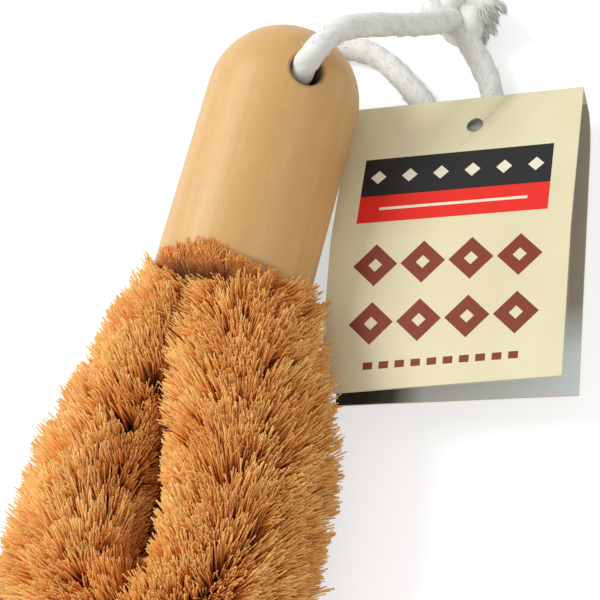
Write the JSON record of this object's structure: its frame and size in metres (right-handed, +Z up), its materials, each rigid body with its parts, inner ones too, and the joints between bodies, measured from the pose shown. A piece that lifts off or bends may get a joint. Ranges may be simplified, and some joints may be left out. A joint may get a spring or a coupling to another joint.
{
  "type": "vegetable brush",
  "caption": "Short-handled coir scrubbing brush for vegetables, its twisted-wire head bent into a loop, with a knotted cotton hanging cord and a folded card tag.",
  "frame": {"origin": "centre of the brush's own box on the surface that it lies on, without its cord and tag", "axes": "+Y along the brush toward the handle's domed end, +X to the side that the cord and tag lie on, +Z up from the table"},
  "size_m": [0.0905, 0.1544, 0.0339],
  "materials": {
    "wood": "satin",
    "wire": "satin",
    "resin": "satin",
    "coir": "matte",
    "cotton": "matte",
    "card": "matte"
  },
  "bodies": {
    "brush": {"handle": "wood", "socket_resin": "resin", "twisted_wire_first": "wire", "twisted_wire_second": "wire", "coir_right_leg": "coir", "coir_left_leg": "coir", "coir_right_loop": "coir", "coir_left_loop": "coir"},
    "cord_loop": {"cord_in_bore": "cotton", "cord_front": "cotton", "cord_back": "cotton", "cord_through_tag": "cotton", "cord_knot": "cotton", "cord_tail_first": "cotton", "cord_tail_second": "cotton"},
    "tag": {"card_tag": "card"}
  },
  "joints": [
    {"name": "cord_swing", "type": "hinge", "parent": "brush", "child": "cord_loop", "pos_m": [0, 0.0545, 0.0185], "axis": [0.6, 0, 0.8], "range_deg": [0, 80]},
    {"name": "tag_swing", "type": "hinge", "parent": "cord_loop", "child": "tag", "pos_m": [0.0284, 0.0634, 0.003], "axis": [0, 0, 1], "range_deg": [0, 24]}
  ]
}
